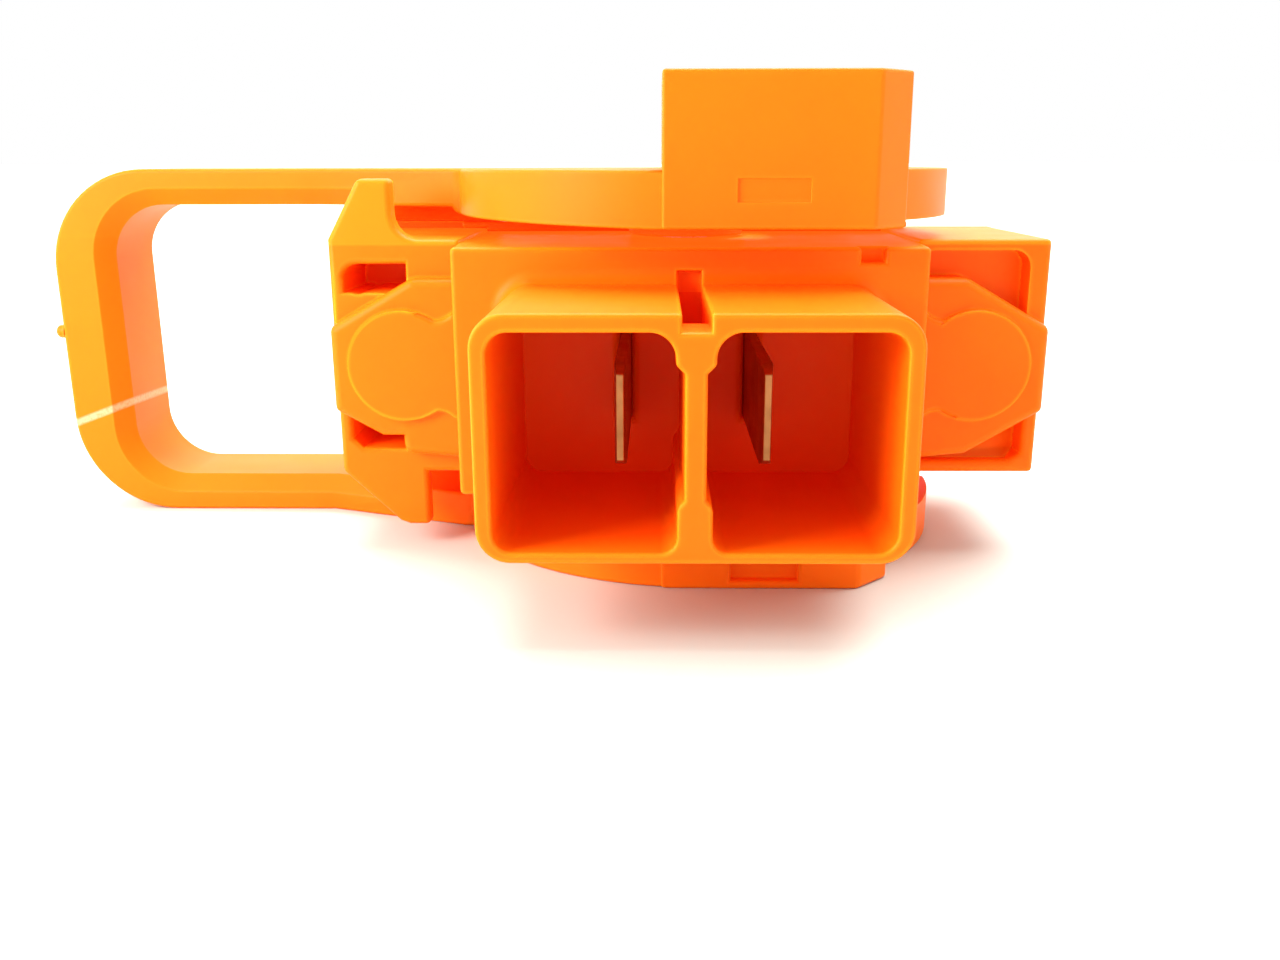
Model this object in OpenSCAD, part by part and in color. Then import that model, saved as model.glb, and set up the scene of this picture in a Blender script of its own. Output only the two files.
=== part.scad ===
// Plug of a high-voltage battery disconnect switch: two blades in a deep hood, the fuse that joins them,
// and a U-shaped lever that draws the plug in, slides to lock and closes the interlock circuit.
// X runs along the lever, Y away from the mating face, Z up. The origin is the middle of the mating face.

/* [Hood] */
// Width of the hood outside
hood_w = 48; // [46:0.5:50]
// Height of the hood's roof above the middle of the lever
hood_top = 11.8; // [11:0.1:12.4]
// Depth of the hood's floor below the middle of the lever
hood_bottom = 15.6; // [15:0.1:16]
// Length of the hood from its rim to the shoulder
hood_len = 30; // [28:0.5:32]
// Corner radius of the hood outside
hood_corner = 3.8; // [3.2:0.1:4.2]
// Thickness of the hood's side walls
hood_side = 1.85; // [1.5:0.05:2.2]
// Thickness of the hood's roof
hood_roof = 2; // [1.6:0.1:2.4]
// Thickness of the hood's floor
hood_floor = 1.2; // [1:0.1:1.8]
// How far the sockets run on past the shoulder
socket_past = 5; // [4:0.5:6]
// Corner radius inside the sockets
socket_corner = 2.3; // [1.6:0.1:2.6]
// Width of the wall between the sockets, under the roof
mullion_head = 4.3; // [4.2:0.1:4.8]
// Width of that wall in its slim middle
mullion_slim = 2.4; // [2.2:0.1:3]
// Width of that wall above the floor
mullion_foot = 3.9; // [3.6:0.1:4.4]
// Height where the slim middle ends
mullion_up = 5.4; // [4.6:0.1:6]
// Depth where the slim middle ends
mullion_down = 8.4; // [7.6:0.1:9.4]
// Fillet between that wall and the roof
mullion_fillet = 2.8; // [2:0.1:3.2]
// Fillet between the hood and the shoulder
root_fillet = 2; // [1:0.1:2.4]
// Width of the keying slot along the roof
key_w = 3.1; // [2.6:0.1:3.4]
// Depth of the keying slot along the roof
key_deep = 2; // [1.6:0.1:2.6]
// Depth of the key's pocket further in
key_pocket_deep = 5.2; // [4:0.1:6]
// Start of the key's pocket behind the rim
key_pocket_y = 7.5; // [6:0.5:10]

/* [Case] */
// Width of the shoulder block
block_w = 61.4; // [60:0.2:62]
// Height of the shoulder block
block_h = 32.8; // [32:0.2:33.2]
// Room between the fuse and the cover behind it
fuse_room = 2.6; // [2.2:0.1:3.4]
// Width of the case over both wings
case_w = 96.6; // [95:0.2:98]
// Height of the wings above the middle
wing_top = 16.9; // [16.5:0.1:17.2]
// Depth of the wings below the middle
wing_bottom = 15.1; // [14.6:0.1:15.6]
// Step back from the shoulder to the wings' face
wing_step = 7.2; // [6.5:0.1:8]
// Thickness of the wing plates and of the floor behind them
wing_t = 3; // [2.5:0.1:3.4]
// How far the ear bosses stand proud of the wings
ear_proud = 2.2; // [1.6:0.1:2.8]
// How far the round wells stand proud of the ear bosses
well_proud = 0.8; // [0.4:0.1:1.2]
// Radius of the round wells
well_r = 7.45; // [7:0.05:7.8]
// Wall of the case round the fuse
case_wall = 2.2; // [1.8:0.1:2.6]
// Thickness of the wall between the sockets and the fuse chamber
socket_back = 2.5; // [2:0.1:3]
// Depth of the shallow pockets in the right wing
wing_pocket = 4; // [2:0.5:5]
// Depth of the two slots in the left wing
wing_slot = 12.8; // [8:0.2:13.2]
// Top of the stop lug on the left wing
stop_top = 24.8; // [23.5:0.1:25.2]
// Bottom of the stop lobe on the left wing
stop_bottom = 22.9; // [21.5:0.1:24]
// Depth of the gussets behind the stop lug and lobe
gusset_deep = 3.8; // [3:0.2:4.4]

/* [Fuse and terminals] */
// Distance between the middles of the two blades
blade_pitch = 16.6; // [16:0.1:17.4]
// Thickness of the blades and straps
blade_t = 1.4; // [1.2:0.1:1.6]
// Height of the blades
blade_h = 11.8; // [10.6:0.1:12]
// Height of the blades' middle
blade_z = -0.9; // [-1.1:0.1:-0.6]
// Distance from the rim back to the blade tips
tip_back = 7.7; // [7:0.1:9]
// Length of the bevel at each blade tip
tip_len = 2.4; // [1.6:0.1:3]
// Distance between the terminal bolts
bolt_pitch = 78; // [77.6:0.1:78.4]
// Thread diameter of the terminal bolts
bolt_d = 6; // [5.8:0.1:6.2]
// Width of the bolt heads and of the square nuts across their flats
bolt_af = 10; // [9.6:0.1:10.2]
// Height of the bolt heads
bolt_head = 4; // [3.5:0.1:4.2]
// Length of the bolts under the head
bolt_len = 15; // [14:0.5:15.5]
// Thickness of the nuts
nut_h = 5; // [4.5:0.1:5.4]
// Outer diameter of the washers
washer_d = 12; // [11.4:0.1:12.4]
// Thickness of the washers
washer_t = 1.6; // [1.2:0.1:1.8]
// Height of the fuse's middle line
fuse_z = -1.2; // [-1.4:0.1:-1]
// Outer diameter of the fuse tube
fuse_d = 21; // [20:0.2:21.4]
// Length of the fuse tube
fuse_len = 40; // [38:0.5:41]
// Wall of the fuse tube
fuse_wall = 2.4; // [2:0.1:3]
// Length of the fuse caps over the tube
cap_len = 7; // [6:0.5:8]
// Wall of the fuse caps
cap_t = 0.8; // [0.6:0.1:0.9]
// Thickness of the closed end of the fuse caps
cap_end = 3; // [2.5:0.1:3.2]
// Thickness of the fuse lugs
lug_t = 2; // [1.6:0.1:2.2]
// Width of the fuse lugs
lug_w = 13; // [12.6:0.1:13.4]

/* [Cover] */
// Thickness of the cover
cover_t = 2.4; // [2:0.1:2.8]
// Length of the skirt that hangs over the block
skirt_len = 2.8; // [2:0.1:3.2]
// Thickness of that skirt
skirt_t = 1.4; // [1.2:0.1:1.5]
// Thread diameter of the cover screws
screw_d = 2.9; // [2.5:0.1:3]
// Head diameter of the cover screws
screw_head_d = 5.6; // [5:0.1:6]
// Head height of the cover screws
screw_head_h = 2; // [1.6:0.1:2.2]
// Length of the cover screws under the head
screw_len = 11; // [9:0.5:12]

/* [Lever] */
// Distance from the pivot to the outside of the grip
grip_reach = 94.5; // [90:0.5:98]
// Thickness of the grip bar
grip_t = 8.5; // [7.5:0.1:9.5]
// Thickness of each arm beside the grip
arm_t = 5.2; // [5:0.1:5.4]
// Thickness of each arm at its hub
hub_t = 6.9; // [6.6:0.1:7]
// Outer corner radius of the grip
grip_corner = 14.7; // [12:0.1:16]
// Inner corner radius of the grip
loop_corner = 8; // [6:0.5:10]
// Bevel along the front of the grip's inside edge
loop_bevel = 2.4; // [1.5:0.1:3]
// Length of that bevel past the bend of the arms
bevel_past = 12; // [8:0.5:16]
// Distance from the shoulder back to the pivot
pivot_back = 24; // [23.6:0.1:24.2]
// Distance from the pivot to the hub's flat front
hub_front = 34; // [33.6:0.1:34.4]
// Radius of the hub on its left
hub_r = 34; // [33.5:0.1:34.4]
// Radius of the hub on its right
hub_tail_r = 36.7; // [36:0.1:37.4]
// Thickness of each arm at the rim of its hub
hub_rim_t = 6.2; // [5.8:0.1:6.6]
// How far the arms reach past the back of the cover
arm_past = 2.4; // [2:0.1:3]
// Travel of the lever from locked to free
slide_travel = 5; // [4:0.2:5.2]
// Diameter of the pivot pins
pin_d = 8; // [7:0.1:9]
// Diameter of the heads that hold the pivot pins inside the case
pin_head_d = 12; // [11:0.1:13]
// Thickness of those heads
pin_head_t = 1.2; // [0.8:0.1:1.3]
// Side of the square slide blocks on the pivot pins
bush_w = 12; // [11:0.1:13]
// Diameter of the slide blocks' flanges
bush_flange_d = 16.6; // [15.6:0.1:17]
// Thickness of the slide blocks' flanges
bush_flange_t = 2; // [1.6:0.1:2.1]
// Width of the cam tracks
cam_w = 5.2; // [4.6:0.1:5.6]
// Depth of the cam tracks
cam_deep = 3; // [2.4:0.1:3]
// Radius of the cam track where the receiving pin enters
cam_in = 27; // [26:0.5:27.5]
// Radius of the cam track where the receiving pin ends
cam_out = 20; // [19:0.5:21]

/* [Interlock] */
// Left face of the interlock block, from the pivot
lock_x0 = -3.6; // [-4:0.1:-3]
// Right face of the interlock block, from the pivot
lock_x1 = 26; // [25.6:0.1:26.2]
// Depth of the interlock block, front to back
lock_deep = 24; // [23:0.5:25]
// Height of the interlock block above the arm
lock_h = 11.2; // [10.8:0.1:12]
// Bevel at the block's front right corner
lock_bevel = 4.3; // [3.6:0.1:4.5]
// Wall round the interlock socket
lock_wall = 3.6; // [3.2:0.1:4]
// Wall in front of the interlock socket
lock_front = 4.8; // [4.6:0.1:5.2]
// Length of the holder inside the interlock socket
holder_len = 6.5; // [5:0.5:8]
// Distance from the socket's mouth back to the contact tabs
tab_back = 4.6; // [4:0.1:6]
// Distance between the two contact tabs
tab_pitch = 7.2; // [7:0.1:7.6]
// Width of the contact tabs
tab_w = 2.3; // [2:0.1:2.5]
// Thickness of the contact tabs
tab_t = 0.64; // [0.5:0.02:0.8]

/* [Fits] */
// Gap all round a blade in its slot
slot_gap = 0.1; // [0.05:0.01:0.15]
// Radial gap of the pivot pins in the case
press_gap = 0.02; // [0:0.01:0.03]
// Radial gap of the pivot pins in the slide blocks
pin_gap = 0.05; // [0.03:0.01:0.08]
// Gap beside the slide blocks in the lever's slots
slide_gap = 0.1; // [0.05:0.01:0.2]
// Gap between the case and the flanges of the slide blocks
flange_gap = 0.3; // [0.2:0.05:0.4]
// Gap between the flanges of the slide blocks and the lever
hub_play = 0.4; // [0.3:0.05:0.6]
// Gap between the cover's rims and the case
cover_gap = 0.15; // [0.1:0.01:0.2]
// Gap round nuts in their pockets
nut_gap = 0.1; // [0.05:0.01:0.2]
// Radial gap of bolts and screws in their holes
bolt_gap = 0.2; // [0.1:0.05:0.3]

/* [Hidden] */
$fn = 64;
cut = 1;                                     // overrun of a cutting body
wing_y = hood_len + wing_step;               // face of the wings
ear_y = wing_y - ear_proud;                  // face of the ear bosses
well_y = ear_y - well_proud;                 // face of the round wells
socket_y = hood_len + socket_past;           // back wall of the sockets
floor_y = socket_y + socket_back;            // floor of the fuse chamber
pivot_y = hood_len + pivot_back;
bolt_x = bolt_pitch / 2;
blade_x = blade_pitch / 2;
half_block = block_w / 2;
half_case = case_w / 2;
half_h = block_h / 2;
cap_r = fuse_d / 2 + cap_t;
fuse_y = floor_y + blade_t + 1.9 + cap_r;    // the fuse clears the straps on the floor
lug_y = fuse_y - lug_t / 2;                  // underside of the fuse lugs
strap_y = lug_y - blade_t;                   // underside of the straps at the bolts
case_y = fuse_y + cap_r + fuse_room;         // open back of the case
head_y = fuse_y + lug_t / 2 + washer_t;      // underside of the bolt heads
cap_end_x = fuse_len / 2 + cap_end;
strap_rise_x = half_block - 2.4;             // where a strap turns up beside the fuse
lug_tip_x = bolt_x + lug_w / 2;
chamber_x = lug_tip_x + 0.6;                 // inside of the wings
chamber_z = half_h - case_wall;
lug_room = lug_w / 2 + 1.6;
screw_x = half_case - 5.1;
screw_top = wing_top - 4.6;
screw_low = -wing_bottom + 3.2;
skirt_z = half_h + cover_gap + skirt_t;      // top of the cover over the block
skirt_x = half_block + 3.6;
arm_back = case_y + cover_t + arm_past;      // back of the arms
bush_in = half_h + flange_gap;
hub_in = bush_in + bush_flange_t + hub_play;
arm_top = hub_in + hub_t;                    // outer face of the arms
arm_in = arm_top - arm_t;
grip_in_x = -grip_reach + grip_t;
arm_front = pivot_y + 1;                     // front of the arms beside the grip
bend_x = -55;                                // where the arms' front turns towards the hub
neck_x = -33;                                // where the arms meet the hub
neck_y = pivot_y - 7.6;
hub_x = 1.5;                                 // middle of the hub's round outline
front_y = pivot_y - hub_front;
bush_top = arm_top - 0.4;
lock_y1 = front_y + lock_deep;
lock_top = arm_top + lock_h;
room_y0 = front_y + lock_front;              // front of the interlock socket
room_y1 = lock_y1 - lock_wall;
lock_mid_y = (room_y0 + room_y1) / 2;
lock_mid_z = arm_top + lock_h / 2 + 0.3;
lock_room_h = lock_h - lock_wall;            // clear height of the interlock socket
holder_x0 = lock_x0 + lock_wall;
holder_x1 = holder_x0 + holder_len;
tab_x1 = lock_x1 - tab_back;

// Shapes shared by several pieces

// A flat XZ outline as a body from y0 back to y1
module along_y(y0, y1) {
    translate([0, y1, 0]) rotate([90, 0, 0]) linear_extrude(y1 - y0) children();
}

// A flat YZ outline as a body from x0 to x1
module along_x(x0, x1) {
    translate([x0, 0, 0]) rotate([90, 0, 90]) linear_extrude(x1 - x0) children();
}

// A flat XY outline as a body from z0 up to z1
module along_z(z0, z1) {
    translate([0, 0, z0]) linear_extrude(z1 - z0) children();
}

module rod_y(x, y0, y1, z, r) {
    translate([x, y1, z]) rotate([90, 0, 0]) cylinder(r = r, h = y1 - y0);
}

module rod_x(x0, x1, y, z, r) {
    translate([x0, y, z]) rotate([0, 90, 0]) cylinder(r = r, h = x1 - x0);
}

module rect(x0, x1, z0, z1) {
    translate([x0, z0]) square([x1 - x0, z1 - z0]);
}

module round_rect(x0, x1, z0, z1, r) {
    rect(x0 + r, x1 - r, z0, z1);
    rect(x0, x1, z0 + r, z1 - r);
    for (x = [x0 + r, x1 - r], z = [z0 + r, z1 - r])
        translate([x, z]) circle(r);
}

// The same on the left and on the right
module both_sides() {
    children();
    mirror([1, 0, 0]) children();
}

// The same above and below the middle
module both_arms() {
    children();
    mirror([0, 0, 1]) children();
}

// Housing of the plug

// What a fillet adds in a corner whose wall stands at x and whose roof or floor lies at z
module corner_fillet(x, z, r, up) {
    difference() {
        rect(x - cut, x + r, min(z - cut, z + up * r), max(z + cut, z + up * r));
        translate([x + r, z + up * r]) circle(r);
    }
}

module socket_outline() {
    z0 = -hood_bottom + hood_floor;
    z1 = hood_top - hood_roof;
    head = mullion_head / 2;
    foot = mullion_foot / 2;
    slim = mullion_slim / 2;
    difference() {
        round_rect(slim, hood_w / 2 - hood_side, z0, z1, socket_corner);
        polygon([
            [0, z1], [head, z1], [head, mullion_up + head - slim], [slim, mullion_up], [0, mullion_up]
        ]);
        polygon([
            [0, z0], [foot, z0], [foot, -mullion_down - foot + slim],
            [slim, -mullion_down], [0, -mullion_down]
        ]);
        corner_fillet(head, z1, mullion_fillet, -1);
        corner_fillet(foot, z0, socket_corner * 0.8, 1);
    }
}

// Fillets between the hood's roof and sides and the shoulder
module root_fillets() {
    x = hood_w / 2 - hood_corner;
    z = hood_top - hood_corner;
    r = root_fillet;
    along_x(-x, x) difference() {
        rect(hood_len - r, hood_len + cut, hood_top - cut, hood_top + r);
        translate([hood_len - r, hood_top + r]) circle(r);
    }
    both_sides() {
        translate([x, hood_len + cut, z]) rotate([90, 0, 0]) rotate_extrude(angle = 90) difference() {
            rect(hood_corner - cut, hood_corner + r, 0, r + cut);
            translate([hood_corner + r, r + cut]) circle(r);
        }
        along_z(-half_h, z) difference() {
            rect(hood_w / 2 - cut, hood_w / 2 + r, hood_len - r, hood_len + cut);
            translate([hood_w / 2 + r, hood_len - r]) circle(r);
        }
    }
}

// The left wing's plate, with the lug and the lobe that stand in front of the lever's arms
module stop_outline() {
    fillet = 3.5;
    lug_x = -half_case + 8.7;
    lobe_x = -half_case + 12;
    difference() {
        polygon([
            [-half_case, -wing_bottom], [-half_case + 7.7, -stop_bottom + 0.5],
            [-half_case + 9.1, -stop_bottom], [lobe_x, -stop_bottom], [lobe_x, -wing_bottom],
            [-half_block, -wing_bottom], [-half_block, wing_top], [lug_x + fillet, wing_top],
            [lug_x + fillet, wing_top + fillet], [lug_x, wing_top + fillet], [lug_x, stop_top],
            [-half_case + 4.4, stop_top], [-half_case, wing_top]
        ]);
        translate([lug_x + fillet, wing_top + fillet]) circle(fillet);
    }
}

// Gussets that back up the lug and the lobe, clear of the freed lever
module stop_gussets() {
    x1 = -half_case + 6.6;
    root_y = wing_y + wing_t;
    reach = root_y + gusset_deep;
    along_x(x1 - 2.2, x1) {
        polygon([
            [root_y, wing_top - 1], [reach, wing_top - 1], [reach, stop_top - 3], [root_y, stop_top - 0.4]
        ]);
        polygon([
            [root_y, -wing_bottom + 1], [reach, -wing_bottom + 1],
            [reach, -stop_bottom + 1.5], [root_y, -stop_bottom + 3]
        ]);
    }
}

module ear_outline() {
    top = wing_top - 5;
    bottom = -wing_bottom + 2.3;
    polygon([
        [half_block - 1, top], [half_case - 11.2, top], [half_case, top - 6.5],
        [half_case, bottom + 6.8], [half_case - 10.2, bottom + 0.8], [half_block - 1, bottom]
    ]);
}

// The left ear leaves the lower slot open
module left_ear_outline() {
    bottom = -wing_bottom + 2.3;
    difference() {
        mirror([1, 0]) ear_outline();
        polygon([
            [-half_case - cut, bottom - cut], [-half_case - cut, bottom + 7.4],
            [-half_case + 6.4, bottom + 3.3], [-half_case + 9.2, bottom + 3.3],
            [-half_case + 9.2, bottom - cut]
        ]);
    }
}

// The round well over a nut, with its waisted neck to the block
module well_outline() {
    waist = 3;
    neck = 6.1;
    mid_z = 0.4;
    translate([bolt_x - 0.6, mid_z]) circle(well_r);
    difference() {
        rect(half_block - 1, bolt_x, mid_z - neck - waist / 3, mid_z + neck + waist / 3);
        for (z = [neck + waist, -neck - waist])
            translate([half_block + 3.2, mid_z + z]) circle(waist);
    }
}

module right_wing_pockets() {
    floor = wing_y + wing_pocket;
    along_y(wing_y - cut, floor)
        round_rect(half_block, half_case - 2.7, 1, wing_top - 1.4, 2.4);
    along_y(wing_y - cut, floor) polygon([
        [half_block, -2], [half_block, -wing_bottom + 1.8], [half_case - 3.6, -wing_bottom + 1.8],
        [half_case - 2, -wing_bottom + 2.7], [half_case - 2, -2]
    ]);
}

module left_wing_slots() {
    deep = wing_y + wing_slot;
    top = wing_top - 3.2;
    left = -half_case + 1.8;
    along_y(wing_y - cut, deep) {
        rect(left + 2, left + 8.5, top - 3.8, top);
        rect(left, left + 8.5, top - 3.8, top - 2);
        translate([left + 2, top - 2]) circle(2);
    }
    along_y(wing_y - cut, deep) polygon([
        [left, -6.6], [left, -10.3], [left + 1.3, -11.7], [left + 7.4, -11.7], [left + 7.4, -6.6]
    ]);
}

module fuse_chamber() {
    along_y(floor_y, case_y + cut)
        round_rect(-half_block + 0.5, half_block - 0.5, -chamber_z, chamber_z, 1);
    both_sides() along_y(strap_y, case_y + cut)
        round_rect(0, chamber_x, fuse_z - lug_room, fuse_z + lug_room, 1);
}

module nut_pocket() {
    side = bolt_af / 2 + nut_gap;
    along_y(strap_y - nut_h, strap_y + cut)
        rect(bolt_x - side, bolt_x + side, fuse_z - side, fuse_z + side);
    rod_y(bolt_x, head_y - bolt_len - 0.6, strap_y, fuse_z, bolt_d / 2 + bolt_gap);
}

module keying_slot() {
    along_y(-cut, hood_len) rect(-key_w / 2, key_w / 2, hood_top - key_deep, hood_top + cut);
    along_y(key_pocket_y, hood_len + 1.5)
        rect(-key_w / 2, key_w / 2, hood_top - key_pocket_deep, hood_top + 1.6);
}

module plug_housing() {
    notch_x = hood_w / 2 - 2.1;
    color("orange") difference() {
        union() {
            difference() {
                union() {
                    along_y(0, hood_len + cut)
                        round_rect(-hood_w / 2, hood_w / 2, -hood_bottom, hood_top, hood_corner);
                    root_fillets();
                    along_y(hood_len, case_y) rect(-half_block, half_block, -half_h, half_h);
                    both_sides() along_y(wing_y, case_y)
                        rect(half_block, half_case, -wing_bottom, wing_top);
                    along_y(wing_y, wing_y + wing_t) stop_outline();
                }
                right_wing_pockets();
                left_wing_slots();
                along_y(hood_len - cut, hood_len + 1.8)
                    rect(notch_x, notch_x + 3, half_h - 1.9, half_h + cut);
            }
            stop_gussets();
            along_y(ear_y, strap_y - 1) ear_outline();
            along_y(ear_y, strap_y - 1) left_ear_outline();
            both_sides() along_y(well_y, ear_y + cut) well_outline();
        }
        both_sides() along_y(-cut, socket_y) socket_outline();
        keying_slot();
        fuse_chamber();
        along_z(-half_h - cut, half_h + cut) translate([0, pivot_y]) circle(pin_d / 2 + press_gap);
        both_sides() {
            nut_pocket();
            translate([blade_x - blade_t / 2 - slot_gap, socket_y - cut, blade_z - blade_h / 2 - slot_gap])
                cube([blade_t + 2 * slot_gap, socket_back + 2 * cut, blade_h + 2 * slot_gap]);
            for (z = [screw_top, screw_low])
                rod_y(screw_x, case_y - screw_len, case_y + cut, z, screw_d / 2 + bolt_gap / 2);
        }
    }
}

// Cover over the fuse

// The cover is taller over the block, and on the left out to the wing, where the lever's arm slides over it
module cover_outline() {
    rect(-half_case, half_case, -wing_bottom, wing_top);
    round_rect(-half_case, skirt_x, -skirt_z, skirt_z, 1.2);
}

module fuse_cover() {
    lip_x = half_block - 0.5 - cover_gap;
    lip_z = chamber_z - cover_gap;
    back = case_y + cover_t;
    color("darkorange") difference() {
        union() {
            along_y(case_y, back) cover_outline();
            along_y(case_y - skirt_len, case_y) difference() {
                rect(-skirt_x, skirt_x, -skirt_z, skirt_z);
                rect(-skirt_x - cut, skirt_x + cut, -half_h - cover_gap, half_h + cover_gap);
                both_sides() rect(half_block - cover_gap, skirt_x + cut, 0, wing_top + cover_gap);
            }
            along_y(case_y - skirt_len, case_y) difference() {
                round_rect(-lip_x, lip_x, -lip_z, lip_z, 0.9);
                rect(-lip_x + 1.6, lip_x - 1.6, -lip_z + 1.6, lip_z - 1.6);
                rect(-lip_x - cut, lip_x + cut, fuse_z - lug_room, fuse_z + lug_room);
            }
            along_y(back - cut, back + 1) difference() {
                round_rect(-half_block + 2, half_block - 2, -half_h + 1, half_h - 1, 2.5);
                round_rect(-half_block + 3.6, half_block - 3.6, -half_h + 2.6, half_h - 2.6, 1.5);
            }
        }
        both_sides() for (z = [screw_top, screw_low])
            rod_y(screw_x, case_y - cut, back + cut, z, screw_d / 2 + bolt_gap);
    }
}

module cover_screws() {
    seat = case_y + cover_t;
    color("silver") both_sides() for (z = [screw_top, screw_low])
        translate([screw_x, seat, z]) rotate([90, 0, 0]) difference() {
            union() {
                cylinder(d = screw_d, h = screw_len);
                translate([0, 0, -screw_head_h]) cylinder(d = screw_head_d, h = screw_head_h);
            }
            translate([0, 0, -screw_head_h - cut]) cylinder(d = screw_head_d * 0.45, h = cut + 1.1, $fn = 6);
        }
}

// Blades, fuse and terminal hardware

// A blade with a bevelled tip, folded outwards behind the sockets and up beside the fuse to its bolt
module busbar() {
    t = blade_t;
    x = blade_x;
    tip = 0.25;
    tip_drop = 0.9;
    z0 = blade_z - blade_h / 2;
    z1 = blade_z + blade_h / 2;
    difference() {
        along_z(z0, z1) polygon([
            [x - t / 2 + tip, tip_back], [x + t / 2 - tip, tip_back], [x + t / 2, tip_back + tip_len],
            [x + t / 2, floor_y], [strap_rise_x, floor_y], [strap_rise_x, strap_y],
            [lug_tip_x, strap_y], [lug_tip_x, lug_y], [strap_rise_x - t, lug_y],
            [strap_rise_x - t, floor_y + t], [x - t / 2, floor_y + t], [x - t / 2, tip_back + tip_len]
        ]);
        along_x(x - t, x + t) {
            polygon([[tip_back - cut, z0 - cut], [tip_back + tip_len, z0 - cut],
                [tip_back + tip_len, z0], [tip_back, z0 + tip_drop], [tip_back - cut, z0 + tip_drop]]);
            polygon([[tip_back - cut, z1 + cut], [tip_back + tip_len, z1 + cut],
                [tip_back + tip_len, z1], [tip_back, z1 - tip_drop], [tip_back - cut, z1 - tip_drop]]);
        }
        rod_y(bolt_x, strap_y - cut, lug_y + cut, fuse_z, bolt_d / 2 + bolt_gap);
    }
}

module right_busbar() {
    color("peru") busbar();
}

module left_busbar() {
    color("peru") mirror([1, 0, 0]) busbar();
}

module fuse_tube() {
    color("ivory") difference() {
        rod_x(-fuse_len / 2, fuse_len / 2, fuse_y, fuse_z, fuse_d / 2);
        rod_x(-fuse_len / 2 - cut, fuse_len / 2 + cut, fuse_y, fuse_z, fuse_d / 2 - fuse_wall);
    }
}

// The melting strip between the caps, with rows of holes that leave narrow necks
module fuse_element() {
    strip_w = 9;
    holes = 5;
    color("silver") along_y(fuse_y - 0.2, fuse_y + 0.2) difference() {
        rect(-fuse_len / 2, fuse_len / 2, fuse_z - strip_w / 2, fuse_z + strip_w / 2);
        for (i = [0 : holes - 1], k = [-1 : 1])
            translate([(i - (holes - 1) / 2) * fuse_len / (holes + 1), fuse_z + k * strip_w / 3])
                circle(d = strip_w / 3 - 0.7);
    }
}

// A cap over one end of the fuse tube, with its drilled lug
module fuse_cap() {
    color("silver") difference() {
        union() {
            difference() {
                rod_x(fuse_len / 2 - cap_len, cap_end_x, fuse_y, fuse_z, cap_r);
                rod_x(fuse_len / 2 - cap_len - cut, fuse_len / 2, fuse_y, fuse_z, fuse_d / 2);
            }
            along_y(lug_y, lug_y + lug_t) {
                rect(cap_end_x - cut, bolt_x, fuse_z - lug_w / 2, fuse_z + lug_w / 2);
                translate([bolt_x, fuse_z]) circle(lug_w / 2);
            }
        }
        rod_y(bolt_x, lug_y - cut, lug_y + lug_t + cut, fuse_z, bolt_d / 2 + bolt_gap);
    }
}

module right_fuse_cap() {
    fuse_cap();
}

module left_fuse_cap() {
    mirror([1, 0, 0]) fuse_cap();
}

module terminal_bolt() {
    color("silver") {
        rod_y(bolt_x, head_y - bolt_len, head_y + 0.5, fuse_z, bolt_d / 2);
        translate([bolt_x, head_y + bolt_head, fuse_z]) rotate([90, 0, 0])
            cylinder(d = bolt_af / cos(30), h = bolt_head, $fn = 6);
    }
}

module right_bolt() {
    terminal_bolt();
}

module left_bolt() {
    mirror([1, 0, 0]) terminal_bolt();
}

module washer() {
    color("gainsboro") difference() {
        rod_y(bolt_x, head_y - washer_t, head_y, fuse_z, washer_d / 2);
        rod_y(bolt_x, head_y - washer_t - cut, head_y + cut, fuse_z, bolt_d / 2 + bolt_gap);
    }
}

module right_washer() {
    washer();
}

module left_washer() {
    mirror([1, 0, 0]) washer();
}

module square_nut() {
    color("darkgray") difference() {
        along_y(strap_y - nut_h, strap_y)
            rect(bolt_x - bolt_af / 2, bolt_x + bolt_af / 2, fuse_z - bolt_af / 2, fuse_z + bolt_af / 2);
        rod_y(bolt_x, strap_y - nut_h - cut, strap_y + cut, fuse_z, bolt_d / 2 + bolt_gap / 4);
    }
}

module right_nut() {
    square_nut();
}

module left_nut() {
    mirror([1, 0, 0]) square_nut();
}

// Pivots of the lever

// Pins that stand out of the case above and below, each held by a head inside
module pivot_pins() {
    color("silver") both_arms() translate([0, pivot_y, 0]) {
        translate([0, 0, chamber_z - pin_head_t]) cylinder(d = pin_head_d, h = pin_head_t);
        translate([0, 0, chamber_z - cut / 2]) cylinder(d = pin_d, h = bush_top - 0.6 - chamber_z + cut / 2);
    }
}

// A slide block that turns on a pivot pin and runs in the slot of an arm
module pivot_bush() {
    color("darkorange") translate([0, pivot_y, 0]) difference() {
        union() {
            translate([0, 0, bush_in]) cylinder(d = bush_flange_d, h = bush_flange_t);
            along_z(bush_in, bush_top) round_rect(-bush_w / 2, bush_w / 2, -bush_w / 2, bush_w / 2, 1);
        }
        translate([0, 0, bush_in - cut]) cylinder(d = pin_d + 2 * pin_gap, h = arm_top);
    }
}

module pivot_bush_top() {
    pivot_bush();
}

module pivot_bush_bottom() {
    mirror([0, 0, 1]) pivot_bush();
}

// Lever

// The arms from above
module arm_plan() {
    polygon([
        [-grip_reach - cut, arm_front], [bend_x, arm_front], [neck_x, neck_y], [hub_x, neck_y],
        [hub_x, arm_back], [-grip_reach - cut, arm_back]
    ]);
    intersection() {
        translate([hub_x, pivot_y]) circle(hub_r, $fn = 96);
        rect(-hub_r, hub_x, front_y, arm_back);
    }
    intersection() {
        translate([0, pivot_y]) circle(hub_tail_r, $fn = 96);
        rect(-cut, hub_tail_r * 2, front_y + lock_bevel, arm_back);
    }
    lock_plan(front_y + lock_bevel * 2);
}

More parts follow.
